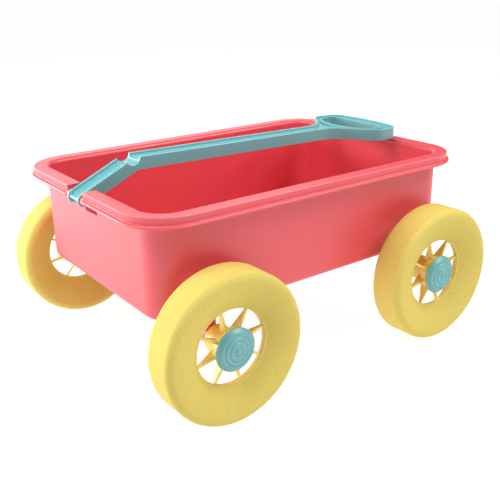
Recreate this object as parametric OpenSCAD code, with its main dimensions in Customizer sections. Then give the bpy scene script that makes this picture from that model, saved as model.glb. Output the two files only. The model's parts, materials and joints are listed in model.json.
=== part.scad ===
// Kids pull wagon: a moulded tub on two steel axles, four spoked wheels with
// soft tyres, and a folding pull handle with a loop grip.
// +X points to the front (handle pivot end), +Y to the left side, +Z up.
// The origin is on the ground under the middle of the tub.

/* [Tub] */
// Length over the rim flange
tub_length = 400; // [330:1:480]
// Width over the rim flange
tub_width = 274; // [230:1:330]
// Height of the tub from its underside to the rim
tub_height = 103.9; // [90:0.1:130]
// Height of the tub's underside above the axles
axle_drop = 17.4; // [14:0.1:22]
// Wall and floor thickness
wall = 2.4; // [2:0.1:3]
// Outside corner radius of the walls
wall_corner = 27; // [22:1:34]
// Outside radius between walls and floor
floor_fillet = 8; // [5:0.5:10]

/* [Rim] */
// How far the flange stands out beyond the wall
rim_overhang = 14.5; // [12:0.5:18]
// Outside corner radius of the flange
rim_corner = 45; // [38:1:52]
// Total height of the skirt
skirt_height = 10.4; // [9:0.2:12]
// How far the bead along the bottom of the skirt stands out
bead_out = 2.6; // [1.5:0.1:3.5]
// Height of that bead
bead_height = 3.0; // [2:0.1:4]
// Rounding of the inside edge of the rim
rim_roll = 4.3; // [3:0.1:6]

/* [Handle] */
// Width over the two flanges of the arm
arm_width = 24; // [20:1:28]
// Depth of the arm
arm_depth = 12.8; // [11:0.2:14]
// Thickness of the flanges
flange = 2.0; // [1.6:0.1:2.4]
// Thickness of the web
web = 2.4; // [2:0.1:3]
// Depth of the channel above the web
channel_depth = 3.4; // [2.5:0.1:4.5]
// Depth of the pivot below the rim
pivot_drop = 9.9; // [9:0.1:11]
// Slope of the lower arm in degrees
lower_slope = 24.3; // [20:0.1:26]
// Fall of the upper arm towards the grip in degrees
upper_slope = 1.15; // [0:0.05:1.3]
// Level distance from the pivot to the knee
knee_reach = 58; // [50:1:64]
// Radius of the bite out of the flanges at the knee
bite_radius = 7.6; // [6:0.1:8]
// How far the bite's centre lies in front of the knee
bite_forward = 2.5; // [0:0.1:3]
// How far the crossbar's outer face reaches past the inside of the rear wall
crossbar_lap = 7; // [3:0.5:10]
// Width over the grip loop
grip_width = 111; // [96:1:126]
// Width of the crossbar
crossbar = 20; // [16:1:24]
// Slope of the grip's flaring sides in degrees
flare_angle = 52; // [48:1:58]
// Length of the opening in the grip
loop_length = 36; // [30:1:40]
// Width of that opening
loop_width = 86; // [74:1:92]

/* [Wheels] */
// Tyre diameter
tyre_diameter = 146; // [130:1:170]
// Tyre width
tyre_width = 37; // [30:1:44]
// Gap between a tyre and the tub's side wall
tyre_gap = 13.5; // [8:0.5:20]
// Rounding of the tyre shoulders
shoulder = 6.6; // [4:0.2:8]
// How far the outer face is dished at its hole
dish_outer = 11.5; // [8:0.5:14]
// How far the inner face is dished at its hole
dish_inner = 20.5; // [12:0.5:21]
// Radius of the opening in the wheel
opening_radius = 36.5; // [32:0.5:42]
// Thickness of the hub's rim ring
ring_thick = 3; // [2:0.5:4]
// Number of spokes
spokes = 8; // [6:1:10]
// Spoke thickness
spoke_thick = 2.4; // [2:0.1:3.5]
// Angle of the first spoke
spoke_phase = 30; // [0:1:44]
// Radius of the hub sleeve
sleeve_radius = 13.5; // [12:0.5:15]
// Hub cap radius
cap_radius = 20.9; // [18:0.1:23]
// How far the cap's edge lies inside the tyre's outer face
cap_depth = 6.0; // [5:0.1:8]
// Rise of the cap's dome over its edge
cap_dome = 6.5; // [5:0.1:7]

/* [Axles] */
// Distance between the axles
wheelbase = 272; // [230:1:300]
// Axle rod diameter
axle_diameter = 6; // [5:0.5:8]
// Radial clearance of turning and sliding fits
fit_gap = 0.06; // [0.04:0.01:0.1]
// Radius of the saddle round the axle
saddle_radius = 9; // [8:0.5:11]
// Length of a saddle along the axle
saddle_length = 30; // [20:1:40]
// Free play between a hub and its saddle
side_play = 1.0; // [0.6:0.1:2]

/* [Hidden] */
$fn = 96;
tub_red = [0.86, 0.27, 0.29];
trim_teal = [0.36, 0.72, 0.72];
tyre_yellow = [0.93, 0.85, 0.42];
hub_yellow = [0.95, 0.84, 0.36];
steel = [0.75, 0.76, 0.78];
over = 1;                                  // overrun of cuts past a face

// levels
tyre_r = tyre_diameter / 2;
axle_z = tyre_r;
tub_bottom = axle_z + axle_drop;
tub_top = tub_bottom + tub_height;

// tub
wall_l = tub_length - 2 * rim_overhang;    // outside of the walls
wall_w = tub_width - 2 * rim_overhang;
skirt_foot = tub_top - skirt_height;
flange_thick = 2.2;
edge_round = 1.4;                          // outer top edge of the flange
bead_round = bead_height / 2 - 0.05;
notch_half = arm_width / 2 + 5;            // half width of the front notch
cheek = 2.2;                               // thickness of the notch's side walls
cheek_height = 17;
stub_radius = 3;                           // pivot stubs on the cheeks
ear_gap = 0.4;                             // between an ear and its boss

// handle
pivot_x = tub_length / 2 - 3.8;
pivot_z = tub_top - pivot_drop;
ear_r = arm_depth / 2;
knee = [pivot_x - knee_reach, pivot_z + knee_reach * tan(lower_slope)];
bend = lower_slope + upper_slope;
crossbar_x = -(wall_l / 2 - wall) - crossbar_lap;
upper_length = knee[0] - crossbar_x;       // level length of the upper arm
neck_r = 24;                               // radii of the grip's outline
side_r = 14;
corner_r = 15;
bow_r = 200;
bow_turn = 12;                             // turn of the crossbar's bow in degrees
side_turn = 10;                            // how far the grip's sides close in
corner_reach = side_r + corner_r + 4;      // from the side arc's centre to the crossbar's face
loop_corner = 6;                           // corners of the opening beside the crossbar
loop_end = 7.6;                            // steps in degrees of the opening's rounded end
loop_square = 0.77;                        // power that squares that end: 1 leaves an ellipse
nose_back = 3.4;                           // how far the web reaches in front of the pivot
stop_gap = 0.35;                           // between the folded arm and the ledge it lies on
ledge = 4;                                 // height of that ledge above the moulding slot
slot_half = arm_width / 2 + 2;             // half width of the moulding slot
slot_height = 11;

// wheels, measured along the axle from the middle of the wagon
face_in = wall_w / 2 + tyre_gap;
face_out = face_in + tyre_width;
ring_out = face_out - dish_outer;
ring_in = face_in + dish_inner;
seat_r = opening_radius + ring_thick;
axle_r = axle_diameter / 2;
saddle_end = wall_w / 2 + 1.5;
hub_in = face_in + 1;
boss_end = hub_in - side_play;             // end of the boss that the hub turns against
boss_radius = axle_r + 5;
hub_out = ring_out - 2;                    // outer end of the sleeve
collar_r = 18;
collar_wall = 2.4;
collar_out = face_out - cap_depth - 1.5;
retainer_gap = 0.3;                        // between a hub and its retainer
retainer_r = axle_r + 5;
retainer_sheet = 0.8;
retainer_thick = 1.6;                      // with its gripping collar
retainer_grip = 1.2;                       // wall of that collar
axle_end = hub_out + retainer_gap + retainer_thick + 1.2;
cap_edge = face_out - cap_depth;           // outer rim of the cap's edge
cap_chamfer = 0.8;
cap_border = 5;                            // width of the steep border round the dome
cap_shoulder = 4.2;                        // rise of the cap to the top of that border
cap_grooves = [4, 9.5, 14];                // radii of the concentric grooves
groove_width = 1.2;
groove_depth = 0.5;
plug_wall = 1.8;
hub_flange = 3;                            // thickness of the disc that carries the collar
outer_curve = 1.5;                         // how sharply the faces fall near the hole
inner_curve = 1.3;
spoke_root = 13;                           // depth of a spoke at the sleeve
sleeve_wall = 2.4;
sleeve_core = 6;                           // radius of the tube round the axle in the sleeve

function arc_points(cx, cy, r, from, to, n = 8) =
  [for (i = [0 : n]) let (a = from + (to - from) * i / n) [cx + r * cos(a), cy + r * sin(a)]];
function mix(a, b, t) = a + (b - a) * t;

// ---------- shared shapes ----------

// half section from x = 0 to x = reach with rounded lower and upper outer corners;
// a flare widens its upper edge with a hollow curve
module half_section(reach, z0, z1, low, high, flare) {
  difference() {
    translate([0, z0]) square([reach, z1 - z0]);
    if (low > 0) difference() {
      translate([reach - low, z0 - over]) square(low + over);
      translate([reach - low, z0 + low]) circle(low);
    }
    if (high > 0) difference() {
      translate([reach - high, z1 - high]) square(high + over);
      translate([reach - high, z1 - high]) circle(high);
    }
  }
  if (flare > 0) difference() {
    translate([0, z1 - flare]) square([reach + flare, flare]);
    translate([reach + flare, z1 - flare]) circle(flare);
  }
}

// block with upright corners of radius r, made of a core, four sides and four corners
module soft_block(l, w, r, z0, z1, low = 0, high = 0, flare = 0) {
  translate([r - l / 2, r - w / 2, z0]) cube([l - 2 * r, w - 2 * r, z1 - z0]);
  for (side = [0 : 3]) rotate([0, 0, 90 * side]) {
    reach = (side % 2 == 0 ? l : w) / 2 - r;
    across = (side % 2 == 0 ? w : l) / 2 - r;
    translate([reach, 0, 0]) rotate([90, 0, 0])
      linear_extrude(2 * across, center = true) half_section(r, z0, z1, low, high, flare);
    translate([reach, across, 0]) rotate_extrude(angle = 90) half_section(r, z0, z1, low, high, flare);
  }
}

// puts a shape whose local z is the distance from the wagon's middle line on an axle
module on_axle(x, side) {
  translate([x, 0, axle_z]) rotate([-90 * side, 0, 0]) children();
}

// ---------- tub ----------

module rim_solid() {
  difference() {
    union() {
      soft_block(tub_length, tub_width, rim_corner, skirt_foot + bead_height / 2, tub_top, 0, edge_round);
      soft_block(tub_length + 2 * bead_out, tub_width + 2 * bead_out, rim_corner + bead_out,
                 skirt_foot, skirt_foot + bead_height, bead_round, bead_round);
    }
    soft_block(tub_length - 2 * wall, tub_width - 2 * wall, rim_corner - wall,
               skirt_foot - over, tub_top - flange_thick);
  }
}

// block under the floor that carries an axle, rounded below
module saddle(x, side) {
  rise = tub_bottom + wall / 2 - axle_z;
  translate([x, side * (saddle_end - saddle_length / 2), axle_z]) {
    rotate([90, 0, 0]) cylinder(h = saddle_length, r = saddle_radius, center = true);
    translate([-saddle_radius, -saddle_length / 2, 0]) cube([2 * saddle_radius, saddle_length, rise]);
  }
  on_axle(x, side) translate([0, 0, saddle_end - 1]) cylinder(h = boss_end - saddle_end + 1, r = boss_radius);
  // foot that follows the rounded lower edge of the side wall
  translate([x - saddle_radius, side * (wall_w / 2 - floor_fillet / 2) - floor_fillet / 2, tub_bottom])
    cube([2 * saddle_radius, floor_fillet, floor_fillet]);
}

// side walls of the notch, with a boss round each pivot stub
module cheeks() {
  boss_r = stub_radius + 2;
  stub_from = arm_width / 2 - flange + 0.2;
  for (s = [-1, 1]) {
    translate([wall_l / 2 - wall / 2, s * (notch_half + cheek / 2) - cheek / 2, tub_top - cheek_height])
      cube([rim_overhang, cheek, cheek_height - flange_thick / 2]);
    translate([pivot_x, s * (arm_width / 2 + ear_gap), pivot_z]) rotate([-90 * s, 0, 0])
      cylinder(h = notch_half + cheek / 2 - arm_width / 2 - ear_gap, r = boss_r);
    translate([pivot_x, s * stub_from, pivot_z]) rotate([-90 * s, 0, 0])
      cylinder(h = notch_half + cheek / 2 - stub_from, r = stub_radius);
  }
}

module tub() {
  notch_foot = arm_underside(wall_l / 2) - stop_gap;
  slot_top = notch_foot - ledge;
  color(tub_red) {
    difference() {
      union() {
        soft_block(wall_l, wall_w, wall_corner, tub_bottom, tub_top - flange_thick / 2, floor_fillet, 0);
        rim_solid();
        for (x = [-1, 1], side = [-1, 1]) saddle(x * wheelbase / 2, side);
      }
      soft_block(wall_l - 2 * wall, wall_w - 2 * wall, wall_corner - wall,
                 tub_bottom + wall, tub_top, floor_fillet - wall, 0, rim_roll);
      translate([wall_l / 2 - wall - rim_roll - over, -notch_half, notch_foot])
        cube([rim_overhang + rim_roll + bead_out + wall + 2 * over, 2 * notch_half,
              tub_top - notch_foot + over]);
      translate([wall_l / 2 - wall - over, -slot_half, slot_top - slot_height])
        cube([wall + 2 * over, 2 * slot_half, slot_height]);
      for (x = [-1, 1]) translate([x * wheelbase / 2, 0, axle_z]) rotate([90, 0, 0])
        cylinder(h = 2 * face_out, r = axle_r + fit_gap, center = true);
    }
    cheeks();
  }
}

// ---------- handle ----------

// height of the folded lower arm's underside where it is x from the middle
function arm_underside(x) = pivot_z + (pivot_x - x) * tan(lower_slope) - ear_r / cos(lower_slope);

// points v above (+) or below (-) the arm's bent middle line: at the pivot and u back
// from it, at the knee, and past the crossbar
function pivot_point(u, v) = [pivot_x, pivot_z] + u * [-cos(lower_slope), sin(lower_slope)]
  + v * [sin(lower_slope), cos(lower_slope)];
function knee_point(v) = let (m = (lower_slope - upper_slope) / 2)
  knee + v / cos(bend / 2) * [sin(m), cos(m)];
function end_point(v) = knee + (upper_length + over) * [-cos(upper_slope), -sin(upper_slope)]
  + v * [-sin(upper_slope), cos(upper_slope)];

// side view of the arm between two levels, from u behind the pivot to past the crossbar
module bent_strip(u, low, high) {
  polygon([pivot_point(u, low), pivot_point(u, high), knee_point(high), end_point(high),
           end_point(low), knee_point(low)]);
}

module bite(r) { translate(knee_point(ear_r) + [bite_forward, 0]) circle(r); }

module arm_side() {
  difference() {
    union() {
      bent_strip(0, -ear_r, ear_r);
      translate([pivot_x, pivot_z]) circle(ear_r);
    }
    bite(bite_radius);
  }
}

// side view of the hollows over and under the web, which dips round the bite
// and ends in a rounded nose in front of the pivot
module hollow_side() {
  top = ear_r - channel_depth;
  nose = pivot_point(-nose_back, top - web / 2);
  bent_strip(-nose_back, top, ear_r + over);
  difference() {
    bent_strip(-nose_back, -ear_r - over, top - web);
    bite(bite_radius + web);
  }
  difference() {
    polygon([pivot_point(-nose_back, ear_r + over), pivot_point(-2 * ear_r, ear_r + over),
             pivot_point(-2 * ear_r, -ear_r - over), pivot_point(-nose_back, -ear_r - over)]);
    translate(nose) circle(web / 2);
  }
}

// stretch of the outline that turns about a centre, for headings in degrees
function turn(c, r, from, to, n) = [for (i = [0 : n]) let (h = from + (to - from) * i / n)
  c + r * [-sin(h), cos(h)]];

// half outline of the upper arm and grip seen from above, x back from the knee
function grip_half_outline(inset) = let (
    bow_c = [upper_length - bow_r, 0],
    corner_c = bow_c + (bow_r - corner_r) * [sin(90 - bow_turn), cos(90 - bow_turn)],
    side_c = [upper_length - corner_reach, grip_width / 2 - side_r],
    neck_y = arm_width / 2 + neck_r,
    rise = side_c[1] + side_r * cos(flare_angle) - neck_y + neck_r * cos(flare_angle),
    neck_x = side_c[0] - side_r * sin(flare_angle) - rise / tan(flare_angle) - neck_r * sin(flare_angle))
  concat(
    [[-knee_reach - 2 * ear_r, arm_width / 2 - inset]],
    turn([neck_x, neck_y], -(neck_r + inset), 0, flare_angle, 7),
    turn(side_c, side_r - inset, flare_angle, -side_turn, 7),
    turn(corner_c, corner_r - inset, -side_turn, bow_turn - 90, 7),
    turn(bow_c, bow_r - inset, bow_turn - 92, -88, 4));

// closed outline from a half one
function both_sides(half) = concat(half, [for (i = [len(half) - 1 : -1 : 0]) [half[i][0], -half[i][1]]]);

// D-shaped opening of the grip, grown outwards by g
function loop_points(g) = let (back = upper_length - crossbar, c = loop_corner)
  both_sides(concat(
    [for (i = [1 : 10]) let (t = loop_end * i)
      [back - (loop_length + g) * pow(cos(t), loop_square),
       (loop_width / 2 + g) * pow(sin(t), loop_square)]],
    turn([back - c, loop_width / 2 - c - 0.5], c + g, 0, -90, 5)));

// upright prism over the handle's outline, drawn in by inset, with the loop cut out
module plan_prism(inset) {
  translate([knee[0], 0, 0]) rotate([0, 0, 180]) linear_extrude(tub_top + 4 * arm_depth)
    difference() {
      polygon(both_sides(grip_half_outline(inset)));
      polygon(loop_points(inset));
    }
}

module side_prism() {
  rotate([90, 0, 0]) linear_extrude(grip_width + 2 * over, center = true) children();
}

module handle() {
  color(trim_teal) difference() {
    intersection() {
      plan_prism(0);
      side_prism() arm_side();
    }
    intersection() {
      plan_prism(flange);
      side_prism() hollow_side();
    }
    for (s = [-1, 1]) translate([pivot_x, s * (arm_width / 2 + over), pivot_z]) rotate([90 * s, 0, 0])
      cylinder(h = flange + over, r = stub_radius + fit_gap);
  }
}

// ---------- wheels ----------

// face of a tyre from the shoulder (s = 0) to the hub's ring (s = 1)
function face_point(s, rim, hole, curve) = [mix(tyre_r - shoulder, seat_r, s), mix(rim, hole, pow(s, curve))];

module tyre(x, side) {
  steps = 10;
  color(tyre_yellow) on_axle(x, side) rotate_extrude() polygon(concat(
    arc_points(tyre_r - shoulder, face_in + shoulder, shoulder, -90, 0, 6),
    arc_points(tyre_r - shoulder, face_out - shoulder, shoulder, 0, 90, 6),
    [for (i = [1 : steps]) face_point(i / steps, face_out, ring_out, outer_curve)],
    [for (i = [steps : -1 : 1]) face_point(i / steps, face_in, ring_in, inner_curve)]));
}

// side view of a spoke: shallow at the ring and deeper towards the sleeve
module spoke_side() {
  tip = opening_radius + ring_thick / 2;
  root = sleeve_radius - sleeve_wall / 2;
  face = ring_out - 0.5;
  polygon([[root, hub_out - 1], [collar_r - 1, hub_out - 1], [collar_r - 1, ring_out], [tip, face],
           [tip, ring_in + 0.5], [root, ring_out - spoke_root]]);
}

module hub(x, side) {
  color(hub_yellow) on_axle(x, side) difference() {
    union() {
      rotate_extrude() {
        translate([0, hub_in]) square([sleeve_core, hub_out - hub_in]);
        translate([sleeve_radius - sleeve_wall, hub_in]) square([sleeve_wall, hub_out - hub_in]);
        translate([0, hub_out - hub_flange]) square([collar_r, hub_flange]);
        translate([collar_r - collar_wall, hub_out - hub_flange])
          square([collar_wall, collar_out - hub_out + hub_flange]);
        translate([opening_radius, ring_in]) square([ring_thick, ring_out - ring_in]);
      }
      for (i = [0 : spokes - 1]) rotate([0, 0, side * -(spoke_phase + i * 360 / spokes)])
        rotate([90, 0, 0]) linear_extrude(spoke_thick, center = true) spoke_side();
    }
    translate([0, 0, hub_in - over]) cylinder(h = hub_out - hub_in + 2 * over, r = axle_r + fit_gap);
  }
}

// height over its edge of the cap's dome at radius r
function dome(r) = mix(cap_dome, cap_shoulder, pow(r / (cap_radius - cap_border), 2));

// domed cap with concentric grooves; its plug sits in the hub's collar
module cap(x, side) {
  plug_r = collar_r - collar_wall - fit_gap;
  seat = collar_out + 0.1;
  rim_r = cap_radius - cap_border;
  color(trim_teal) on_axle(x, side) rotate_extrude() {
    difference() {
      polygon(concat(
        [[0, seat], [cap_radius - cap_chamfer, seat], [cap_radius, seat + cap_chamfer],
         [cap_radius, cap_edge], [cap_radius - cap_chamfer, cap_edge + cap_chamfer]],
        [for (i = [8 : -1 : 0]) [rim_r * i / 8, cap_edge + dome(rim_r * i / 8)]]));
      for (r = cap_grooves) translate([r - groove_width / 2, cap_edge + dome(r) - groove_depth])
        square([groove_width, over]);
    }
    translate([plug_r - plug_wall, hub_out + hub_flange])
      square([plug_wall, seat - hub_out - hub_flange + 0.4]);
  }
}

// push-on washer with a collar that grips the axle's end
module retainer(x, side) {
  color(steel) on_axle(x, side) rotate_extrude() {
    translate([axle_r, hub_out + retainer_gap]) square([retainer_r - axle_r, retainer_sheet]);
    translate([axle_r, hub_out + retainer_gap]) square([retainer_grip, retainer_thick]);
  }
}

module axle(x) {
  color(steel) translate([x, 0, axle_z]) rotate([90, 0, 0])
    cylinder(h = 2 * axle_end, r = axle_r, center = true);
}

module front_axle() { axle(wheelbase / 2); }
module rear_axle() { axle(-wheelbase / 2); }

tub();
handle();
front_axle();
rear_axle();
tyre(wheelbase / 2, 1);  // tyre_front_left
tyre(wheelbase / 2, -1);  // tyre_front_right
tyre(-wheelbase / 2, 1);  // tyre_rear_left
tyre(-wheelbase / 2, -1);  // tyre_rear_right
hub(wheelbase / 2, 1);  // hub_front_left
hub(wheelbase / 2, -1);  // hub_front_right
hub(-wheelbase / 2, 1);  // hub_rear_left
hub(-wheelbase / 2, -1);  // hub_rear_right
cap(wheelbase / 2, 1);  // cap_front_left
cap(wheelbase / 2, -1);  // cap_front_right
cap(-wheelbase / 2, 1);  // cap_rear_left
cap(-wheelbase / 2, -1);  // cap_rear_right
retainer(wheelbase / 2, 1);  // retainer_front_left
retainer(wheelbase / 2, -1);  // retainer_front_right
retainer(-wheelbase / 2, 1);  // retainer_rear_left
retainer(-wheelbase / 2, -1);  // retainer_rear_right
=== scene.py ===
"""Looks of a kids' pull wagon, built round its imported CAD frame.

Shapes are worked out in millimetres and scaled to metres when a piece is made.
"""

import json
import math

import bmesh
import bpy
import numpy as np
from mathutils import Matrix, Vector


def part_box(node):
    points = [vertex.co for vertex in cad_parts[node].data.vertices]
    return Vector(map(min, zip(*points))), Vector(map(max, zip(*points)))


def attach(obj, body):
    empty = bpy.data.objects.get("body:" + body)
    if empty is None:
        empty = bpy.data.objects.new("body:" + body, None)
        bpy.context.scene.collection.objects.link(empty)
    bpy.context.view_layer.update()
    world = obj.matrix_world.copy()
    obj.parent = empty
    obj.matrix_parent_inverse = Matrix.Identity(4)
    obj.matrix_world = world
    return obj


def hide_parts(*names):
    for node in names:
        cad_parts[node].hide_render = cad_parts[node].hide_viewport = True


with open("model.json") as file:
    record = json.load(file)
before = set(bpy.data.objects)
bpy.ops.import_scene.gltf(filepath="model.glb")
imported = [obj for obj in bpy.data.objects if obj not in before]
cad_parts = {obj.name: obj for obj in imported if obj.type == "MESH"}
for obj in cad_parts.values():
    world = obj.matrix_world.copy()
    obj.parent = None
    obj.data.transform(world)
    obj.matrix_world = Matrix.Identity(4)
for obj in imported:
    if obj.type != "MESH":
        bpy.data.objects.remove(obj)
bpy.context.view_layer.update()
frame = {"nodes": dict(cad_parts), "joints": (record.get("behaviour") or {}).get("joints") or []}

MM = 0.001
ENDS = ("front", "rear")
SIDES = ("left", "right")


def box_mm(node):
    """Lowest and highest corner of a CAD node in millimetres."""
    low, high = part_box(node)
    return low / MM, high / MM


# ---------- sizes, in millimetres ----------

tub_high = box_mm("tub")[1]
tyre_low, tyre_high = box_mm("tyre_front_left")
handle_low, handle_high = box_mm("handle")
axle_low, axle_high = box_mm("front_axle")
pivot_joint = next(joint for joint in frame["joints"] if joint["name"] == "handle_pivot")
pivot = Vector(pivot_joint["pos_m"]) / MM

# small roundings
EASE_STEPS = 3
SHARP = 50                        # angle in degrees past which an edge is rounded
SHARP_MOULDING = 40               # the same on the tub's notch and on the handle

# tub
WALL = 2.4
WALL_CORNER = 27                  # outside radius of the walls' corners, seen from above
FLOOR_FILLET = 8                  # outside radius between walls and floor
RIM_OVERHANG = 14.5               # how far the rim's skirt stands out from the walls
RIM_CORNER = 45                   # outside radius of the rim's corners, seen from above
RIM_ROLL = 4.3                    # rounding of the inside edge of the rim
SKIRT_HEIGHT = 10.4
SKIRT_DRAFT = 0.7                 # how far the skirt leans in towards its foot
BEAD_OUT = 2.6                    # bead along the skirt's foot
BEAD_HEIGHT = 3
FLANGE_THICK = 2.2
FLANGE_EDGE = 0.6                 # rounding of the rim's outer edge
TUB_TOP = tub_high.z
TUB_HEIGHT = 103.9
TUB_BOTTOM = TUB_TOP - TUB_HEIGHT
WALL_X = tub_high.x - BEAD_OUT - RIM_OVERHANG
WALL_Y = tub_high.y - BEAD_OUT - RIM_OVERHANG
CORNER_STEPS = 20
CHEEK = 2.2                       # walls at the sides of the notch, which hold the pivot stubs
CHEEK_HEIGHT = 17
STUB_RADIUS = 3
STUB_SHORT = 0.2                  # how far the stubs end inside the arm's flanges
STUB_BOSS_RADIUS = STUB_RADIUS + 2
STUB_BOSS_GAP = 0.4               # between those bosses and the arm's sides
STOP_GAP = 0.35                   # between the folded arm and the ledge it lies on
LEDGE = 4                         # height of that ledge above the moulding slot
SLOT_HEIGHT = 11
NOTCH_EASE = 0.35                 # rounding of the edges round the notch

# handle
ARM_WIDTH = 24
ARM_DEPTH = 12.8
HANDLE_FLANGE = 2
HANDLE_WEB = 2.4
CHANNEL_DEPTH = 3.4               # from the flanges' upper edge down to the web
LOWER_SLOPE = math.radians(24.3)
UPPER_SLOPE = math.radians(1.15)
KNEE_REACH = 58                   # level distance from the pivot to the knee
BITE_RADIUS = 7.6                 # round bite out of the flanges at the knee
BITE_FORWARD = 2.5
NOSE_FORWARD = 3.4                # how far the web reaches in front of the pivot
CROSSBAR = 20
LOOP_LENGTH = 36
LOOP_WIDTH = 86
LOOP_CORNER = 6                   # corners of the loop's opening beside the crossbar
LOOP_SQUARE = 0.77                # power that squares the opening's other end: 1 is an ellipse
LOOP_FROM, LOOP_TO = 3, 76        # stretch of that end in degrees
FLARE = 52                        # slope in degrees of the sides that widen towards the grip
NECK_RADIUS = 24                  # where the arm turns into the flare
GRIP_SIDE = 14                    # where the flare turns into the grip's side
GRIP_CORNER = 15
GRIP_STRAIGHT = 4                 # between those two roundings
BOW_RADIUS = 200                  # bowed outer face of the crossbar
BOW_TURN = 12
SIDE_TURN = 10                    # degrees by which the grip's sides draw in towards the crossbar
EAR_RADIUS = ARM_DEPTH / 2        # rounded end of the arm at the pivot
HANDLE_EASE = 0.4                 # rounding of the handle's edges
GRIP_WIDTH = handle_high.y - handle_low.y
CROSSBAR_X = handle_low.x
PAST_GRIP = GRIP_WIDTH / 2 + 1    # half width of the solids that are crossed with the outline
PAST_ALL = GRIP_WIDTH / 2 + 3     # half width of what is cut from those
PIN_STEPS = 48

# wheels
TYRE_RADIUS = (tyre_high.z - tyre_low.z) / 2
AXLE_Z = (tyre_high.z + tyre_low.z) / 2
AXLE_X = (tyre_high.x + tyre_low.x) / 2
FACE_IN = tyre_low.y
FACE_OUT = tyre_high.y
SHOULDER = 6.6                    # rounding of the tyre's outer edges
OPENING_RADIUS = 36.5             # opening in the wheel that the spokes cross
RING_THICK = 3
SEAT_RADIUS = OPENING_RADIUS + RING_THICK
RING_OUT = FACE_OUT - 11.5        # the tyre's faces are dished down to its opening
RING_IN = FACE_IN + 20.5
DISH_OUT, DISH_IN = 1.5, 1.3      # powers that curve the two faces
LIP = 1.2                         # of the tyre, round the hub's ring
SPOKES = 8
SPOKE_THICK = 2.4
SPOKE_PHASE = 30
SPOKE_ROOT = 13                   # from the ring's outer face to a spoke's back edge at the sleeve
SPOKE_EASE = 0.5
SLEEVE_RADIUS = 13.5
SLEEVE_WALL = 2.4
SLEEVE_CORE = 6                   # radius of the tube round the axle
HUB_OUT = RING_OUT - 2
HUB_IN = FACE_IN + 1
HUB_FLANGE = 3
COLLAR_RADIUS = 18                # collar that takes the cap
COLLAR_WALL = 2.4
COLLAR_OUT = FACE_OUT - 7.5
CAP_RADIUS = 20.9
CAP_EDGE = FACE_OUT - 6
CAP_DOME = 6.2                    # height of the cap's middle over its edge
CAP_SHOULDER = 4.2                # height of the dome's rim over that edge
CAP_BORDER = 5
CAP_GROOVES = (4, 9.5, 14)
PLUG_WALL = 1.8
FIT_GAP = 0.06
MOULD_GAP = 0.05                  # between the hub's ring and its seat in the tyre
TURN_STEPS = 144

# axles and the saddles that carry them
AXLE_RADIUS = (axle_high.z - axle_low.z) / 2
SADDLE_RADIUS = 9
SADDLE_LENGTH = 30
SADDLE_END = WALL_Y + 1.5
SADDLE_EASE = 0.8
BOSS_RADIUS = 8
BOSS_END = HUB_IN - 1
BOSS_EASE = 0.4

# notch in the front wall, and the slot under it
NOTCH_HALF = ARM_WIDTH / 2 + 5
SLOT_HALF = ARM_WIDTH / 2 + 2
ARM_UNDER = EAR_RADIUS / math.cos(LOWER_SLOPE)
NOTCH_FOOT = pivot.z + (pivot.x - WALL_X) * math.tan(LOWER_SLOPE) - ARM_UNDER - STOP_GAP


# ---------- mesh helpers ----------

def mix(a, b, t):
    """Value between a (t = 0) and b (t = 1)."""
    return a + (b - a) * t


def arc(cx, cy, radius, start, end, steps):
    """Points on an arc between two angles in degrees."""
    angles = np.radians(np.linspace(start, end, steps + 1))
    return [(cx + radius * math.cos(a), cy + radius * math.sin(a)) for a in angles]


def circle(cx, cy, radius, steps):
    """Points on a full circle, each of them once."""
    return arc(cx, cy, radius, 0, 360 * (1 - 1 / steps), steps - 1)


def mesh_object(name, bm):
    """A new object from a bmesh, with its faces turned outwards."""
    bmesh.ops.remove_doubles(bm, verts=bm.verts, dist=0.001)
    bmesh.ops.recalc_face_normals(bm, faces=bm.faces)
    mesh = bpy.data.meshes.new(name)
    bm.to_mesh(mesh)
    bm.free()
    obj = bpy.data.objects.new(name, mesh)
    bpy.context.scene.collection.objects.link(obj)
    return obj


def loft(name, rings):
    """Closed shell through rings with the same number of points, capped at both ends."""
    bm = bmesh.new()
    loops = [[bm.verts.new(p) for p in ring] for ring in rings]
    count = len(loops[0])
    for a, b in zip(loops, loops[1:]):
        for i in range(count):
            j = (i + 1) % count
            bm.faces.new((a[i], a[j], b[j], b[i]))
    bm.faces.new(loops[0])
    bm.faces.new(loops[-1])
    return mesh_object(name, bm)


def prism(name, outline, place, low, high):
    """Closed prism over an outline; place(u, v, w) gives a point at height w over outline point u, v."""
    return loft(name, [[place(u, v, w) for u, v in outline] for w in (low, high)])


def block(name, low, high):
    """Rectangular block between two corners."""
    outline = [(low[0], low[1]), (high[0], low[1]), (high[0], high[1]), (low[0], high[1])]
    return prism(name, outline, lambda x, y, z: (x, y, z), low[2], high[2])


def across(x, z):
    """Places an outline drawn from the side, with its own origin at x, z, and extrudes it along Y."""
    return lambda u, v, w: (x + u, w, z + v)


def cross_cylinder(name, radius, x, z, ends, steps=64):
    """Cylinder along Y between two ends."""
    return prism(name, circle(0, 0, radius, steps), across(x, z), *ends)


def on_side(side, near, far):
    """Lowest and highest y of a stretch on one side (1 or -1) of the middle."""
    return sorted((side * near, side * far))


def revolve(name, profile, steps=TURN_STEPS):
    """Solid of revolution about the local z axis; the profile is closed and lists (radius, height)."""
    bm = bmesh.new()
    loops = []
    for k in range(steps):
        a = 2 * math.pi * k / steps
        loops.append([bm.verts.new((r * math.cos(a), r * math.sin(a), h)) for r, h in profile])
    count = len(profile)
    for a, b in zip(loops, loops[1:] + loops[:1]):
        for i in range(count):
            j = (i + 1) % count
            bm.faces.new((a[i], a[j], b[j], b[i]))
    bmesh.ops.remove_doubles(bm, verts=bm.verts, dist=0.001)
    bmesh.ops.dissolve_degenerate(bm, edges=bm.edges, dist=0.0005)
    return mesh_object(name, bm)


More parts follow.
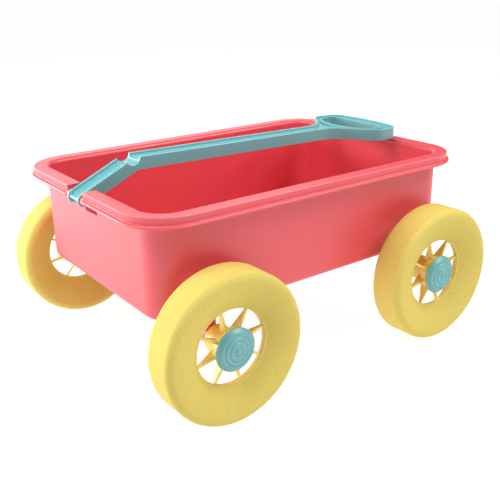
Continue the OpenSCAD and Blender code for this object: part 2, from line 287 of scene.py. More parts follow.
def combine(base, other, operation="UNION"):
    """Boolean of two closed meshes; the second one is used up."""
    modifier = base.modifiers.new("combine", "BOOLEAN")
    modifier.operation = operation
    modifier.solver = "EXACT"
    modifier.object = other
    graph = bpy.context.evaluated_depsgraph_get()
    mesh = bpy.data.meshes.new_from_object(base.evaluated_get(graph))
    base.modifiers.clear()
    base.data = mesh
    bpy.data.objects.remove(other)
    return base


def soften(obj, width, angle=SHARP, chosen=lambda point: True):
    """Rounds the sharp edges whose two ends are chosen."""
    merge = 0.002
    level = math.radians(0.4)
    bm = bmesh.new()
    bm.from_mesh(obj.data)
    bmesh.ops.remove_doubles(bm, verts=bm.verts, dist=merge)
    bmesh.ops.dissolve_limit(bm, angle_limit=level, verts=bm.verts, edges=bm.edges)
    sharp = [e for e in bm.edges if e.is_manifold and e.calc_face_angle(0) > math.radians(angle)
             and all(chosen(v.co) for v in e.verts)]
    bmesh.ops.bevel(bm, geom=sharp, offset=width, offset_type="OFFSET", segments=EASE_STEPS,
                    profile=0.5, affect="EDGES", clamp_overlap=False, loop_slide=True)
    bmesh.ops.dissolve_degenerate(bm, edges=bm.edges, dist=0.0005)
    bm.to_mesh(obj.data)
    bm.free()
    return obj


def make_piece(obj, body, nodes, material, angle=40):
    """Scales a finished shape to metres, shades it and joins it to its body."""
    obj.data.transform(Matrix.Scale(MM, 4))
    bm = bmesh.new()
    bm.from_mesh(obj.data)
    for edge in bm.edges:
        edge.smooth = not (edge.is_manifold and edge.calc_face_angle(0) > math.radians(angle))
    for face in bm.faces:
        face.smooth = True
    bm.to_mesh(obj.data)
    bm.free()
    weighted = obj.modifiers.new("weighted", "WEIGHTED_NORMAL")
    weighted.keep_sharp = True
    obj.data.materials.clear()
    obj.data.materials.append(material)
    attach(obj, body)
    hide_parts(*nodes)
    return obj


# ---------- materials ----------

class Nodes:
    """Short calls for building a material's nodes."""

    def __init__(self, name, **values):
        self.material = bpy.data.materials.new(name)
        self.material.use_nodes = True
        self.tree = self.material.node_tree
        self.shader = self.tree.nodes["Principled BSDF"]
        for socket, value in values.items():
            self.shader.inputs[socket.replace("_", " ")].default_value = value
        self.place = self.add("ShaderNodeTexCoord").outputs["Object"]

    def add(self, kind, **inputs):
        """New node whose inputs are set to values or linked to other sockets."""
        node = self.tree.nodes.new(kind)
        for key, value in inputs.items():
            self.feed(node.inputs[key.replace("_", " ")], value)
        return node

    def feed(self, socket, value):
        if isinstance(value, bpy.types.NodeSocket):
            self.tree.links.new(value, socket)
        else:
            socket.default_value = value

    def noise(self, scale, detail=2.0, roughness=0.5):
        node = self.add("ShaderNodeTexNoise", Vector=self.place, Scale=scale, Detail=detail,
                        Roughness=roughness)
        return node.outputs["Fac"]

    def cells(self, scale):
        """Distance to the middle of the nearest cell, for grains and pits."""
        node = self.add("ShaderNodeTexVoronoi", Vector=self.place, Scale=scale)
        return node.outputs["Distance"]

    def spread(self, value, low, high, to_low, to_high):
        """Maps a range of values to another one, without going past its ends."""
        node = self.add("ShaderNodeMapRange", Value=value)
        for key, number in zip(("From Min", "From Max", "To Min", "To Max"), (low, high, to_low, to_high)):
            node.inputs[key].default_value = number
        return node.outputs["Result"]

    def maths(self, operation, a, b):
        node = self.tree.nodes.new("ShaderNodeMath")
        node.operation = operation
        self.feed(node.inputs[0], a)
        self.feed(node.inputs[1], b)
        return node.outputs[0]

    def plus(self, a, b):
        return self.maths("ADD", a, b)

    def times(self, a, b):
        return self.maths("MULTIPLY", a, b)

    def blend(self, factor, a, b):
        """Colour between a and b."""
        node = self.tree.nodes.new("ShaderNodeMix")
        node.data_type = "RGBA"
        self.feed(node.inputs["Factor"], factor)
        colours = [s for s in node.inputs if s.type == "RGBA"]
        self.feed(colours[0], a)
        self.feed(colours[1], b)
        return next(s for s in node.outputs if s.type == "RGBA")

    def edges(self, radius):
        """Grows from 0 on flat faces to 1 on edges sharper than the radius."""
        rounded = self.add("ShaderNodeBevel", Radius=radius)
        flat = self.add("ShaderNodeNewGeometry").outputs["Normal"]
        dot = self.tree.nodes.new("ShaderNodeVectorMath")
        dot.operation = "DOT_PRODUCT"
        self.tree.links.new(rounded.outputs["Normal"], dot.inputs[0])
        self.tree.links.new(flat, dot.inputs[1])
        return self.spread(dot.outputs["Value"], 0.995, 0.9, 0.0, 1.0)

    def bump(self, height, distance, strength=1.0):
        node = self.add("ShaderNodeBump", Height=height, Distance=distance, Strength=strength)
        self.feed(self.shader.inputs["Normal"], node.outputs["Normal"])

    def finish(self, colour, roughness):
        """The finished material, with its last two inputs fed."""
        self.feed(self.shader.inputs["Base Color"], colour)
        self.feed(self.shader.inputs["Roughness"], roughness)
        return self.material


def shade(colour, factor):
    """A colour made lighter or darker."""
    return tuple(min(1.0, c * factor) for c in colour[:3]) + (1.0,)


def moulded_plastic(name, colour):
    """Coloured moulded plastic: faint mottling, a fine etched grain, handling marks, and pale edges that
    are partly edge wear and partly a painted highlight line.
    """
    roughness = 0.4
    mottling = 0.05
    wear_and_highlight = 0.5                    # share of the pale colour on an edge
    edge_radius = 0.0011          # in metres
    n = Nodes(name, IOR=1.5, Specular_IOR_Level=0.9)
    cloud = n.spread(n.noise(9.0, 3.0), 0.3, 0.7, 0.0, 1.0)
    flow = n.spread(n.noise(38.0, 4.0, 0.6), 0.35, 0.65, 0.0, 1.0)
    base = n.blend(cloud, shade(colour, 1 - mottling), shade(colour, 1 + mottling))
    base = n.blend(n.times(flow, 0.35), base, shade(colour, 1 - 0.5 * mottling))
    # Pale band along sharp edges: partly edge wear, partly a painted highlight where rounded edges would
    # catch the light.
    pale = tuple(mix(c, 1.0, 0.5) for c in colour[:3]) + (1.0,)
    base = n.blend(n.times(n.edges(edge_radius), wear_and_highlight), base, pale)
    grain = n.noise(2600.0, 2.0, 0.6)
    marks = n.spread(n.noise(120.0, 5.0, 0.7), 0.45, 0.75, 0.0, 1.0)
    n.bump(n.plus(grain, n.times(marks, 0.6)), 0.00005, 0.3)
    rough = n.spread(grain, 0.3, 0.7, roughness - 0.05, roughness + 0.05)
    return n.finish(base, n.plus(rough, n.times(marks, 0.07)))


def speckled_foam(name, colour):
    """Matt soft foam with fine darker grains and small pits."""
    n = Nodes(name, IOR=1.4, Specular_IOR_Level=0.25)
    cloud = n.spread(n.noise(14.0, 3.0), 0.3, 0.7, 0.0, 1.0)
    base = n.blend(cloud, shade(colour, 0.97), shade(colour, 1.03))
    fine = n.spread(n.noise(1100.0, 3.0, 0.7), 0.48, 0.66, 0.0, 1.0)
    base = n.blend(n.times(fine, 0.5), base, shade(colour, 0.75))
    light = n.spread(n.noise(800.0, 2.0), 0.55, 0.7, 0.0, 1.0)
    base = n.blend(n.times(light, 0.3), base, shade(colour, 1.1))
    grains = n.spread(n.cells(380.0), 0.14, 0.26, 1.0, 0.0)
    chosen = n.spread(n.noise(210.0, 1.0), 0.48, 0.58, 0.0, 1.0)
    base = n.blend(n.times(grains, n.times(chosen, 0.45)), base, shade(colour, 0.5))
    pits = n.spread(n.cells(900.0), 0.0, 0.35, 0.0, 1.0)
    n.bump(n.plus(pits, n.noise(420.0, 3.0)), 0.00012, 0.5)
    return n.finish(base, n.spread(fine, 0.0, 1.0, 0.82, 0.95))


def plated_steel(name):
    """Zinc-plated steel with drawing marks along the rod and dull patches."""
    n = Nodes(name, Metallic=1.0)
    patches = n.spread(n.noise(60.0, 4.0), 0.35, 0.65, 0.0, 1.0)
    base = n.blend(patches, (0.62, 0.63, 0.65, 1), (0.75, 0.76, 0.78, 1))
    scratches = n.add("ShaderNodeMapping", Vector=n.place, Scale=(1.0, 0.05, 1.0))
    lines = n.add("ShaderNodeTexNoise", Vector=scratches.outputs["Vector"], Scale=2200.0, Detail=3.0)
    n.bump(lines.outputs["Fac"], 0.00004, 0.4)
    return n.finish(base, n.spread(patches, 0.0, 1.0, 0.38, 0.26))


def pale_floor():
    """Pale studio floor that glows faintly, as a lit table does, so that shadows stay soft."""
    n = Nodes("pale_floor", Emission_Color=(1, 1, 1, 1), Emission_Strength=0.88)
    dust = n.spread(n.noise(3.0, 4.0), 0.3, 0.7, 0.0, 1.0)
    return n.finish(n.blend(dust, (0.29, 0.29, 0.29, 1), (0.31, 0.31, 0.31, 1)), 0.7)


TUB_RED = (0.77, 0.066, 0.086, 1)
TEAL = (0.14, 0.47, 0.49, 1)
CAP_TEAL = (0.12, 0.39, 0.405, 1)
TYRE_YELLOW = (0.71, 0.565, 0.138, 1)
HUB_YELLOW = (0.85, 0.63, 0.10, 1)
tub_plastic = moulded_plastic("tub_plastic", TUB_RED)
handle_plastic = moulded_plastic("handle_plastic", TEAL)
cap_plastic = moulded_plastic("cap_plastic", CAP_TEAL)
hub_plastic = moulded_plastic("hub_plastic", HUB_YELLOW)
tyre_foam = speckled_foam("tyre_foam", TYRE_YELLOW)
steel = plated_steel("steel")


# ---------- tub ----------

def tub_ring(offset, corner, z):
    """Rounded rectangle at height z, offset outwards from the walls."""
    x, y = WALL_X + offset - corner, WALL_Y + offset - corner
    points = []
    for k, (sx, sy) in enumerate(((1, 1), (-1, 1), (-1, -1), (1, -1))):
        quarter = arc(0, 0, corner, 90 * k, 90 * k + 90, CORNER_STEPS)
        points += [(sx * x + u, sy * y + v, z) for u, v in quarter]
    return points


def wall_rings(section):
    """Rings that follow the walls, for a section of offsets and heights."""
    return [tub_ring(offset, WALL_CORNER + offset, z) for offset, z in section]


def rim_rings(section):
    """Rings that follow the rim's skirt, whose corners are wider than the walls'."""
    return [tub_ring(offset, RIM_CORNER + offset - RIM_OVERHANG, z) for offset, z in section]


def tub_shell():
    """Walls, floor and rim in one closed shell, from the inside of the floor to its underside."""
    inner = FLOOR_FILLET - WALL
    floor_top = TUB_BOTTOM + WALL
    skirt_foot = TUB_TOP - SKIRT_HEIGHT
    skirt_in = RIM_OVERHANG - WALL
    nose = BEAD_HEIGHT / 2
    bead_x = RIM_OVERHANG + BEAD_OUT - nose
    easing = 0.5
    skirt_x = RIM_OVERHANG - SKIRT_DRAFT
    rings = wall_rings(arc(-WALL - inner, floor_top + inner, inner, -90, 0, 8))
    rings += wall_rings(arc(RIM_ROLL - WALL, TUB_TOP - RIM_ROLL, RIM_ROLL, 180, 90, 10))
    rings += rim_rings(arc(RIM_OVERHANG - FLANGE_EDGE, TUB_TOP - FLANGE_EDGE, FLANGE_EDGE, 90, 0, 6))
    bead_top = skirt_foot + BEAD_HEIGHT + easing
    rings += rim_rings(arc(skirt_x + easing, bead_top, easing, 180, 270, EASE_STEPS))
    rings += rim_rings(arc(bead_x, skirt_foot + nose, nose, 90, -90, 10))
    rings += rim_rings(arc(skirt_in + easing, skirt_foot + easing, easing, 270, 180, EASE_STEPS))
    under = TUB_TOP - FLANGE_THICK - easing
    rings += rim_rings(arc(skirt_in - easing, under, easing, 0, 90, EASE_STEPS))
    rings += wall_rings(arc(easing, under, easing, 90, 180, EASE_STEPS))
    rings += wall_rings(arc(-FLOOR_FILLET, TUB_BOTTOM + FLOOR_FILLET, FLOOR_FILLET, 0, -90, 10))
    return loft("tub_body", rings)


def saddle_foot(x, side):
    """Fills the space over a saddle, up to the middle of the bend between floor and wall."""
    bend_y = WALL_Y - FLOOR_FILLET
    bend_z = TUB_BOTTOM + FLOOR_FILLET
    y = on_side(side, bend_y - 0.5, SADDLE_END)
    foot = block("foot", (x - SADDLE_RADIUS, y[0], TUB_BOTTOM), (x + SADDLE_RADIUS, y[1], bend_z))
    ends = (x - SADDLE_RADIUS - 1, x + SADDLE_RADIUS + 1)
    round_inside = circle(side * bend_y, bend_z, FLOOR_FILLET - WALL / 2, 72)
    bend = prism("bend", round_inside, lambda u, v, w: (w, u, v), *ends)
    return combine(foot, bend, "DIFFERENCE")


def add_saddle(tub, x, side):
    """Block under the floor that carries an axle, rounded below, with its boss and the axle's bore."""
    top = TUB_BOTTOM + WALL / 2 - AXLE_Z
    start = SADDLE_END - SADDLE_LENGTH
    outline = arc(0, 0, SADDLE_RADIUS, 180, 360, 24) + [(SADDLE_RADIUS, top), (-SADDLE_RADIUS, top)]
    saddle = prism("saddle", outline, across(x, AXLE_Z), *on_side(side, start, SADDLE_END))
    soften(combine(saddle, saddle_foot(x, side)), SADDLE_EASE)
    boss_ends = on_side(side, SADDLE_END - 1, BOSS_END)
    combine(saddle, soften(cross_cylinder("boss", BOSS_RADIUS, x, AXLE_Z, boss_ends), BOSS_EASE))
    combine(tub, saddle)
    bore_ends = on_side(side, start - 1, BOSS_END + 1)
    combine(tub, cross_cylinder("bore", AXLE_RADIUS + FIT_GAP, x, AXLE_Z, bore_ends), "DIFFERENCE")


def add_cheek(tub, side):
    """Wall at one side of the notch, with the boss and stub that the handle turns on."""
    low_y, high_y = on_side(side, NOTCH_HALF, NOTCH_HALF + CHEEK)
    back = WALL_X - WALL / 2
    combine(tub, block("cheek", (back, low_y, TUB_TOP - CHEEK_HEIGHT),
                       (back + RIM_OVERHANG, high_y, TUB_TOP - FLANGE_THICK / 2)))
    root = NOTCH_HALF + CHEEK / 2
    boss_ends = on_side(side, ARM_WIDTH / 2 + STUB_BOSS_GAP, root)
    combine(tub, cross_cylinder("boss", STUB_BOSS_RADIUS, pivot.x, pivot.z, boss_ends, PIN_STEPS))
    stub_ends = on_side(side, ARM_WIDTH / 2 - HANDLE_FLANGE + STUB_SHORT, root)
    combine(tub, cross_cylinder("stub", STUB_RADIUS, pivot.x, pivot.z, stub_ends, PIN_STEPS))


def cut_notch(tub):
    """Notch for the folded arm, the moulding slot under it, and the cheeks at its sides."""
    inside = WALL_X - WALL - RIM_ROLL - 1
    past_rim = WALL_X + 24
    slot_top = NOTCH_FOOT - LEDGE
    slot_foot = slot_top - SLOT_HEIGHT
    notch = block("notch", (inside, -NOTCH_HALF, NOTCH_FOOT), (past_rim, NOTCH_HALF, TUB_TOP + 1))
    combine(tub, notch, "DIFFERENCE")
    slot = block("slot", (WALL_X - WALL - 1, -SLOT_HALF, slot_foot), (WALL_X + 1, SLOT_HALF, slot_top))
    combine(tub, slot, "DIFFERENCE")
    for side in (-1, 1):
        add_cheek(tub, side)

    def near_notch(point):
        beside = abs(point.y) < NOTCH_HALF + CHEEK + 0.1
        return beside and point.x > inside - 0.5 and point.z > slot_foot - 0.5

    soften(tub, NOTCH_EASE, SHARP_MOULDING, near_notch)


def make_tub():
    """The whole red moulding."""
    tub = tub_shell()
    for x in (AXLE_X, -AXLE_X):
        for side in (-1, 1):
            add_saddle(tub, x, side)
    cut_notch(tub)
    make_piece(tub, "tub", ["tub"], tub_plastic)


# ---------- handle ----------

BEND = LOWER_SLOPE + UPPER_SLOPE
KNEE = (pivot.x - KNEE_REACH, pivot.z + KNEE_REACH * math.tan(LOWER_SLOPE))
UPPER_LENGTH = KNEE[0] - CROSSBAR_X


def pivot_point(u, v):
    """Point u back from the pivot along the lower arm and v above its middle line."""
    return (pivot.x - u * math.cos(LOWER_SLOPE) + v * math.sin(LOWER_SLOPE),
            pivot.z + u * math.sin(LOWER_SLOPE) + v * math.cos(LOWER_SLOPE))


def knee_point(v):
    """Point on the line that halves the knee's angle, v above the arm's middle line."""
    tilt = (LOWER_SLOPE - UPPER_SLOPE) / 2
    reach = v / math.cos(BEND / 2)
    return KNEE[0] + reach * math.sin(tilt), KNEE[1] + reach * math.cos(tilt)


def end_point(v):
    """Point just past the crossbar, v above the upper arm's middle line."""
    length = UPPER_LENGTH + 1
    return (KNEE[0] - length * math.cos(UPPER_SLOPE) - v * math.sin(UPPER_SLOPE),
            KNEE[1] - length * math.sin(UPPER_SLOPE) + v * math.cos(UPPER_SLOPE))


def bent_strip(u, low, high):
    """Side outline of the arm between two levels, from u behind the pivot."""
    return [pivot_point(u, low), pivot_point(u, high), knee_point(high), end_point(high),
            end_point(low), knee_point(low)]


def side_prism(name, outline):
    """Prism over a side outline, just wider than the grip."""
    return prism(name, outline, across(0, 0), -PAST_GRIP, PAST_GRIP)


def side_cylinder(name, centre, radius, half, steps):
    """Cylinder along Y about a point of the side view, from -half to half."""
    return cross_cylinder(name, radius, centre[0], centre[1], (-half, half), steps)


def turn(centre, radius, start, end, steps):
    """Stretch of an outline that turns about a centre, for headings in degrees."""
    headings = np.radians(np.linspace(start, end, steps + 1))
    return [(centre[0] - radius * math.sin(h), centre[1] + radius * math.cos(h)) for h in headings]


def both_sides(half):
    """Half of an outline and its mirror image."""
    return half + [(u, -v) for u, v in reversed(half)]


def grip_outline(inset):
    """Outline of the arm and grip seen from above, u back from the knee, drawn in by inset."""
    flare = math.radians(FLARE)
    bow = (UPPER_LENGTH - BOW_RADIUS, 0)
    lean = math.radians(90 - BOW_TURN)
    reach = BOW_RADIUS - GRIP_CORNER
    corner = (bow[0] + reach * math.sin(lean), reach * math.cos(lean))
    side = (UPPER_LENGTH - GRIP_SIDE - GRIP_CORNER - GRIP_STRAIGHT, GRIP_WIDTH / 2 - GRIP_SIDE)
    neck_y = ARM_WIDTH / 2 + NECK_RADIUS
    rise = side[1] + GRIP_SIDE * math.cos(flare) - neck_y + NECK_RADIUS * math.cos(flare)
    neck_x = side[0] - (GRIP_SIDE + NECK_RADIUS) * math.sin(flare) - rise / math.tan(flare)
    half = [(-KNEE_REACH - 2 * EAR_RADIUS, ARM_WIDTH / 2 - inset)]
    half += turn((neck_x, neck_y), -(NECK_RADIUS + inset), 0, FLARE, 14)
    half += turn(side, GRIP_SIDE - inset, FLARE, -SIDE_TURN, 18)
    half += turn(corner, GRIP_CORNER - inset, -SIDE_TURN, BOW_TURN - 90, 18)
    half += turn(bow, BOW_RADIUS - inset, BOW_TURN - 91, -89, 6)
    return both_sides(half)


def loop_outline(grown):
    """D-shaped opening of the grip, grown outwards."""
    back = UPPER_LENGTH - CROSSBAR
    half = []
    for t in np.radians(np.linspace(LOOP_FROM, LOOP_TO, 22)):
        half.append((back - (LOOP_LENGTH + grown) * math.cos(t) ** LOOP_SQUARE,
                     (LOOP_WIDTH / 2 + grown) * math.sin(t) ** LOOP_SQUARE))
    corner = (back - LOOP_CORNER, LOOP_WIDTH / 2 - LOOP_CORNER - 0.5)
    return both_sides(half + turn(corner, LOOP_CORNER + grown, 0, -90, 12))


def plan_prism(name, inset):
    """Upright prism over the handle's outline, drawn in by inset, with the loop cut out."""
    place = lambda u, v, w: (KNEE[0] - u, v, w)
    foot = 100
    top = TUB_TOP + 4 * ARM_DEPTH
    outer = prism(name, grip_outline(inset), place, foot, top)
    return combine(outer, prism("loop", loop_outline(inset), place, foot - 1, top + 1), "DIFFERENCE")


def handle_side():
    """Side shape of the whole arm: both legs, the rounded ear and the bite at the knee."""
    arm = side_prism("arm", bent_strip(0, -EAR_RADIUS, EAR_RADIUS))
    combine(arm, side_cylinder("ear", (pivot.x, pivot.z), EAR_RADIUS, PAST_GRIP, 96))
    return combine(arm, bite("bite", BITE_RADIUS), "DIFFERENCE")


def bite(name, radius):
    """Cylinder about the middle of the bite at the knee."""
    x, z = knee_point(EAR_RADIUS)
    return side_cylinder(name, (x + BITE_FORWARD, z), radius, PAST_ALL, 96)


def hollow_side():
    """Hollows over and under the web, which dips round the bite and ends in a nose at the pivot."""
    top = EAR_RADIUS - CHANNEL_DEPTH
    foot = top - HANDLE_WEB
    past = EAR_RADIUS + 1
    above = side_prism("above", bent_strip(-NOSE_FORWARD, top, past))
    below = side_prism("below", bent_strip(-NOSE_FORWARD, -past, foot))
    combine(below, bite("dip", BITE_RADIUS + HANDLE_WEB), "DIFFERENCE")
    front_u = -2 * EAR_RADIUS
    corners = ((-NOSE_FORWARD, past), (front_u, past), (front_u, -past), (-NOSE_FORWARD, -past))
    front = side_prism("front", [pivot_point(u, v) for u, v in corners])
    nose_centre = pivot_point(-NOSE_FORWARD, top - HANDLE_WEB / 2)
    combine(front, side_cylinder("nose", nose_centre, HANDLE_WEB / 2, PAST_ALL, 32), "DIFFERENCE")
    return combine(combine(above, below), front)


def make_handle():
    """The whole arm and grip: the outline from above crossed with the side shape, then hollowed."""
    handle = combine(plan_prism("handle_body", 0), handle_side(), "INTERSECT")
    hollow = combine(plan_prism("hollow", HANDLE_FLANGE), hollow_side(), "INTERSECT")
    combine(handle, hollow, "DIFFERENCE")
    for side in (-1, 1):
        ends = on_side(side, ARM_WIDTH / 2 - HANDLE_FLANGE - 1, ARM_WIDTH / 2 + 1)
        hole = cross_cylinder("hole", STUB_RADIUS + FIT_GAP, pivot.x, pivot.z, ends, PIN_STEPS)
        combine(handle, hole, "DIFFERENCE")
    soften(handle, HANDLE_EASE, SHARP_MOULDING)
    make_piece(handle, "handle", ["handle"], handle_plastic)


# ---------- wheels ----------

def face_point(s, rim, hole, curve):
    """Point on a tyre's dished face, from the shoulder (s = 0) to the hub's ring (s = 1)."""
    return mix(TYRE_RADIUS - SHOULDER, SEAT_RADIUS, s), mix(rim, hole, s ** curve)


def tyre_profile():
    """Half section: rounded shoulders, two dished faces, and lips that hold the hub's ring."""
    steps = 20
    r = TYRE_RADIUS - SHOULDER
    edge = OPENING_RADIUS + 0.1
    ease = 0.7
    step_back = 0.2
    points = arc(r, FACE_IN + SHOULDER, SHOULDER, -90, 0, 12)
    points += arc(r, FACE_OUT - SHOULDER, SHOULDER, 0, 90, 12)
    points += [face_point(i / steps, FACE_OUT, RING_OUT, DISH_OUT) for i in range(1, steps + 1)]
    points += arc(edge + ease, RING_OUT - step_back - ease, ease, 90, 180, 4)
    points += [(edge + 0.1, RING_OUT - LIP), (SEAT_RADIUS, RING_OUT - LIP)]
    points += [(SEAT_RADIUS, RING_IN + LIP), (edge + 0.1, RING_IN + LIP)]
    points += arc(edge + ease, RING_IN + step_back + ease, ease, 180, 270, 4)
    points += [face_point(i / steps, FACE_IN, RING_IN, DISH_IN) for i in range(steps, 0, -1)]
    return points


def spoke(k):
    """Radial blade, shallow at the ring and deeper towards the sleeve."""
    steps = 6
    curve = 1.15
    tip = OPENING_RADIUS + RING_THICK / 2
    root = SLEEVE_RADIUS - SLEEVE_WALL / 2
    front = RING_OUT - LIP - 0.4
    back = RING_IN + LIP + 0.2
    inside = COLLAR_RADIUS - 1
    outline = [(root, HUB_OUT - 1), (inside, HUB_OUT - 1), (inside, RING_OUT), (tip, front)]
    for i in range(steps + 1):
        t = i / steps
        outline.append((mix(tip, root, t), mix(back, RING_OUT - SPOKE_ROOT, t ** curve)))
    a = -math.radians(SPOKE_PHASE + k * 360 / SPOKES)
    c, s = math.cos(a), math.sin(a)
    place = lambda u, v, w: (u * c - w * s, u * s + w * c, v)
    return soften(prism("spoke", outline, place, -SPOKE_THICK / 2, SPOKE_THICK / 2), SPOKE_EASE)


def hub_shape():
    """Ring, spokes, hollow sleeve with its axle tube, and the collar that takes the cap."""
    ease = 0.6
    ring_in = RING_IN + LIP + MOULD_GAP
    ring_out = RING_OUT - LIP - MOULD_GAP
    ring_seat = SEAT_RADIUS - MOULD_GAP
    rim = arc(OPENING_RADIUS + ease, ring_out - ease, ease, 180, 90, EASE_STEPS)
    rim += [(ring_seat, ring_out), (ring_seat, ring_in)]
    rim += arc(OPENING_RADIUS + ease, ring_in + ease, ease, 270, 180, EASE_STEPS)
    ring = revolve("hub", rim)
    bore = AXLE_RADIUS + FIT_GAP
    disc = HUB_OUT - HUB_FLANGE
    shell = SLEEVE_RADIUS - SLEEVE_WALL
    socket = COLLAR_RADIUS - COLLAR_WALL
    chamfer = 0.4
    middle = [(bore, HUB_IN), (SLEEVE_CORE - chamfer, HUB_IN), (SLEEVE_CORE, HUB_IN + chamfer)]
    middle += [(SLEEVE_CORE, disc), (shell, disc), (shell, HUB_IN + ease)]
    middle += arc(shell + ease, HUB_IN + ease, ease, 180, 270, EASE_STEPS)
    middle += arc(SLEEVE_RADIUS - ease, HUB_IN + ease, ease, 270, 360, EASE_STEPS)
    middle += [(SLEEVE_RADIUS, disc)]
    middle += arc(COLLAR_RADIUS - ease, disc + ease, ease, 270, 360, EASE_STEPS)
    middle += [(COLLAR_RADIUS, COLLAR_OUT), (socket, COLLAR_OUT), (socket, HUB_OUT), (bore, HUB_OUT)]
    core = revolve("core", middle)
    for k in range(SPOKES):
        combine(core, spoke(k))
    return combine(ring, core)


def dome(r):
    """Height of the cap's dome over its edge at radius r."""
    return mix(CAP_DOME, CAP_SHOULDER, (r / (CAP_RADIUS - CAP_BORDER)) ** 2)


def cap_profile():
    """Half section of the cap: rolled rim, steep border, grooved dome and the plug behind."""
    seat = COLLAR_OUT + 0.1
    plug = COLLAR_RADIUS - COLLAR_WALL - FIT_GAP
    plug_end = HUB_OUT + HUB_FLANGE
    ease = 0.6
    roll = 0.8
    roll_top = 0.75
    border_steps = 10
    dome_steps = 160
    hollow = plug - PLUG_WALL
    points = [(0, seat), (hollow, seat), (hollow, plug_end), (plug, plug_end), (plug, seat)]
    points += arc(CAP_RADIUS - ease, seat + ease, ease, 270, 360, 4)
    points += arc(CAP_RADIUS - roll, CAP_EDGE, roll, 0, 70, 5)
    shoulder = CAP_RADIUS - CAP_BORDER
    for i in range(1, border_steps):
        t = i / border_steps
        height = mix(roll_top, CAP_SHOULDER, math.sin(t * math.pi / 2))
        points.append((mix(CAP_RADIUS - roll, shoulder, t), CAP_EDGE + height))
    for i in range(dome_steps + 1):
        r = shoulder * (1 - i / dome_steps)
        relief = sum(groove(r - g) for g in CAP_GROOVES)
        points.append((r, CAP_EDGE + dome(r) + relief))
    return points


def groove(d):
    """Relief at distance d from a concentric groove: a cut with a low rolled ridge on its inner side."""
    ridge = 0.28 * math.exp(-((d + 1.5) / 0.8) ** 2)
    cut = 0.8 * math.exp(-(d / 0.55) ** 2)
    return ridge - cut


def place_wheel_part(source, name, end, side):
    """Copy of a shape drawn along its local z, turned onto one wheel's axle."""
    sign = 1 if side == "left" else -1
    x = AXLE_X if end == "front" else -AXLE_X
    obj = source.copy()
    obj.data = source.data.copy()
    obj.name = name
    bpy.context.scene.collection.objects.link(obj)
    turn_out = Matrix.Rotation(-math.radians(90), 4, "X")
    mirror = Matrix.Scale(sign, 4, Vector((0, 1, 0)))
    obj.data.transform(Matrix.Translation((x, 0, AXLE_Z)) @ mirror @ turn_out)
    if sign < 0:
        obj.data.flip_normals()
    return obj


def make_wheels():
    """Tyre, hub and cap on each of the four wheels, copied from one shape of each kind."""
    parts = (("tyre", revolve("tyre", tyre_profile()), "tyre_foam", tyre_foam),
             ("hub", hub_shape(), "hub_plastic", hub_plastic),
             ("cap", revolve("cap", cap_profile(), 120), "cap_plastic", cap_plastic))
    for kind, source, slot, material in parts:
        for end in ENDS:
            for side in SIDES:
                obj = place_wheel_part(source, f"{kind}_{end}_{side}_look", end, side)
                make_piece(obj, f"wheel_{end}_{side}", [f"{kind}_{end}_{side}"], material)
        bpy.data.objects.remove(source)


def finish_steel():
    """The axles and retainers keep their CAD shape."""
    names = [f"{end}_axle" for end in ENDS] + [f"retainer_{end}_{side}" for end in ENDS for side in SIDES]
    for name in names:
        data = frame["nodes"][name].data
        data.materials.clear()
        data.materials.append(steel)


# ---------- setting ----------

def make_floor():
    """Wide level floor under the wheels."""
    mesh = bpy.data.meshes.new("floor")
    half = 20
    corners = [(-half, -half, 0), (half, -half, 0), (half, half, 0), (-half, half, 0)]
    mesh.from_pydata(corners, [], [(0, 1, 2, 3)])
    floor = bpy.data.objects.new("floor", mesh)
    bpy.context.scene.collection.objects.link(floor)
    mesh.materials.append(pale_floor())


WAGON_MIDDLE = Vector((0, 0, 0.12))


def area_light(name, power, size, azimuth, elevation, distance):
    """Soft rectangular light aimed at the wagon: watts, metres, and a direction in degrees."""
    data = bpy.data.lights.new(name, "AREA")
    data.energy = power
    data.shape = "RECTANGLE"
    data.size, data.size_y = size
    light = bpy.data.objects.new(name, data)
    back = direction(azimuth, elevation)
    light.location = WAGON_MIDDLE + back * distance
    light.rotation_mode = "QUATERNION"
    light.rotation_quaternion = back.to_track_quat("Z", "Y")
    light.visible_camera = False
    bpy.context.scene.collection.objects.link(light)


def direction(azimuth, elevation):
    """Unit vector towards an azimuth (0 is the -Y side, 90 the +X side) and elevation in degrees."""
    a, e = math.radians(azimuth), math.radians(elevation)
    return Vector((math.sin(a) * math.cos(e), -math.cos(a) * math.cos(e), math.sin(e)))


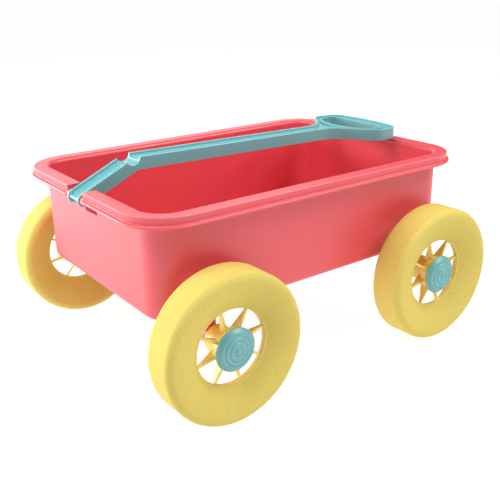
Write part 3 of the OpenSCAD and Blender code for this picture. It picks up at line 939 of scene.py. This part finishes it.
def make_lights():
    """Plain white backdrop for the camera, a weak fill for the wagon, and four soft boxes."""
    fill_strength = 0.28
    world = bpy.data.worlds.new("studio")
    bpy.context.scene.world = world
    world.use_nodes = True
    tree = world.node_tree
    fill = tree.nodes["Background"]
    fill.inputs["Strength"].default_value = fill_strength
    backdrop = tree.nodes.new("ShaderNodeBackground")
    choice = tree.nodes.new("ShaderNodeMixShader")
    for node in (fill, backdrop):
        node.inputs["Color"].default_value = (1, 1, 1, 1)
    tree.links.new(tree.nodes.new("ShaderNodeLightPath").outputs["Is Camera Ray"], choice.inputs["Fac"])
    tree.links.new(fill.outputs["Background"], choice.inputs[1])
    tree.links.new(backdrop.outputs["Background"], choice.inputs[2])
    tree.links.new(choice.outputs["Shader"], tree.nodes["World Output"].inputs["Surface"])
    area_light("front_box", 18, (1.2, 0.6), 40, 9, 1.25)
    area_light("side_box", 15, (0.8, 0.8), 222, 46, 1.5)
    area_light("top_box", 15, (0.9, 0.9), 92, 60, 1.5)
    area_light("back_box", 4.5, (1.3, 0.7), 338, 20, 1.6)
    bpy.context.scene.view_settings.view_transform = "Standard"


def make_camera():
    """Camera turned slightly about its own axis, aimed at a point near the middle of the tub."""
    azimuth, elevation, roll = 143.455, 20.951, -0.876
    distance = 0.77626
    target = Vector((0.03214, 0.05018, 0.10695))
    back = direction(azimuth, elevation)
    right = Vector((0, 0, 1)).cross(back).normalized()
    up = back.cross(right)
    c, s = math.cos(math.radians(roll)), math.sin(math.radians(roll))
    x, y = c * right + s * up, c * up - s * right
    data = bpy.data.cameras.new("camera")
    data.sensor_width = 36
    data.lens = 52.73568
    data.clip_start, data.clip_end = 0.01, 60
    camera = bpy.data.objects.new("camera", data)
    turned = Matrix((x, y, back)).transposed().to_4x4()
    camera.matrix_world = Matrix.Translation(target + back * distance) @ turned
    bpy.context.scene.collection.objects.link(camera)
    bpy.context.scene.camera = camera


make_camera()
make_lights()
make_floor()
make_tub()
make_handle()
make_wheels()
finish_steel()
